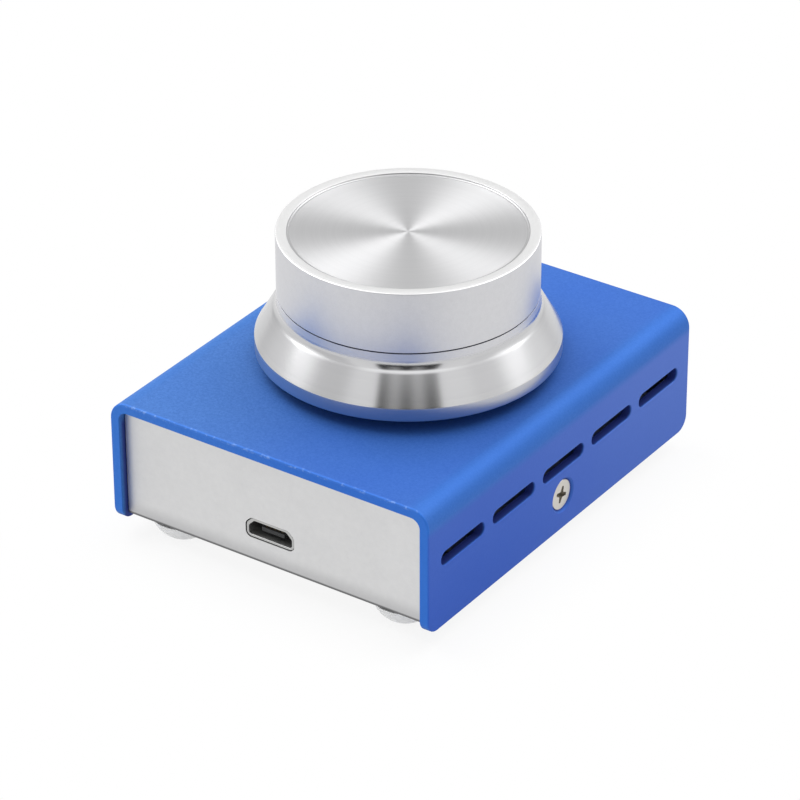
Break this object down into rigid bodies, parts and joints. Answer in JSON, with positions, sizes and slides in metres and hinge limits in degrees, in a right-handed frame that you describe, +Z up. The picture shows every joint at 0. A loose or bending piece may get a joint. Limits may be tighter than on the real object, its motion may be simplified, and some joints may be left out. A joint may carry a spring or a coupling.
{
  "type": "usb volume control knob",
  "caption": "Desk volume control: a folded aluminium box with vent slots and a small USB socket, carrying a heavy turned knob that spins with clicks and presses down.",
  "frame": {"origin": "on the resting plane of the feet, at the centre of the footprint; the knob's axis stands 0.4 mm right and 0.27 mm behind it", "axes": "+Z up along the knob's axis, -Y towards the socket end, +X to the right seen from the socket"},
  "size_m": [0.052, 0.065, 0.041],
  "materials": {
    "anodised_cover": "bead blasted and anodised blue, satin",
    "bright_chassis": "fine brushed, satin",
    "turned_knob": "turned, fine concentric tool marks, satin",
    "brass_insert": "machined",
    "clear_foot": "clear soft silicone, smooth",
    "plated_screw": "nickel plated",
    "zinc_nut": "bright zinc",
    "plated_standoff": "nickel plated brass",
    "circuit_laminate": "dark solder mask",
    "socket_shell": "bright plated",
    "black_moulding": "moulded",
    "gold_contact": "gold plated",
    "chip_package": "moulded epoxy",
    "tinned_lead": "tin plated",
    "drawn_can": "nickel plated, drawn",
    "capacitor_sleeve": "drawn aluminium",
    "ceramic_chip": "fired ceramic",
    "resistor_chip": "glazed",
    "cast_housing": "die cast",
    "frame_steel": "tin plated",
    "code_wheel": "moulded acetal",
    "spring_bronze": "rolled phosphor bronze",
    "spring_steel": "rolled",
    "shaft_metal": "ground",
    "plated_hardware": "nickel plated",
    "spacer_fibre": "punched fibre"
  },
  "bodies": {
    "case": {"base_chassis": "bright_chassis", "board_screws": "plated_screw", "board_standoffs": "plated_standoff", "capacitor_base": "black_moulding", "capacitor_can": "capacitor_sleeve", "chip_capacitors": "ceramic_chip", "chip_leads": "tinned_lead", "chip_resistors": "resistor_chip", "circuit_board": "circuit_laminate", "contact_wipers": "spring_bronze", "controller_chip": "chip_package", "cover_nut_left": "zinc_nut", "cover_nut_right": "zinc_nut", "cover_screw_left": "plated_screw", "cover_screw_right": "plated_screw", "crystal_can": "drawn_can", "detent_spring": "spring_bronze", "encoder_base": "black_moulding", "encoder_frame": "frame_steel", "encoder_housing": "cast_housing", "encoder_nut": "plated_hardware", "encoder_pins": "tinned_lead", "encoder_spacer": "spacer_fibre", "encoder_washer": "plated_hardware", "foot_front_left": "clear_foot", "foot_front_right": "clear_foot", "foot_rear_left": "clear_foot", "foot_rear_right": "clear_foot", "regulator_leads": "tinned_lead", "switch_contacts": "spring_bronze", "switch_dome": "spring_steel", "top_cover": "anodised_cover", "usb_contacts": "gold_contact", "usb_shell": "socket_shell", "usb_tongue": "black_moulding", "voltage_regulator": "chip_package"},
    "code_wheel": {"encoder_rotor": "code_wheel"},
    "knob": {"knob_body": "turned_knob", "knob_insert": "brass_insert", "encoder_shaft": "shaft_metal", "retaining_ring": "spring_steel"}
  },
  "joints": [
    {"name": "knob_turn", "type": "hinge", "parent": "case", "child": "code_wheel", "pos_m": [0.0004, 0.00027, 0.01495], "axis": [0, 0, 1], "continuous": true},
    {"name": "knob_press", "type": "slide", "parent": "code_wheel", "child": "knob", "axis": [0, 0, 1], "range_m": [-0.0005, 0], "stiffness_N_per_m": 3000, "springref_m": 0.0008, "deforming": ["switch_dome"]}
  ]
}
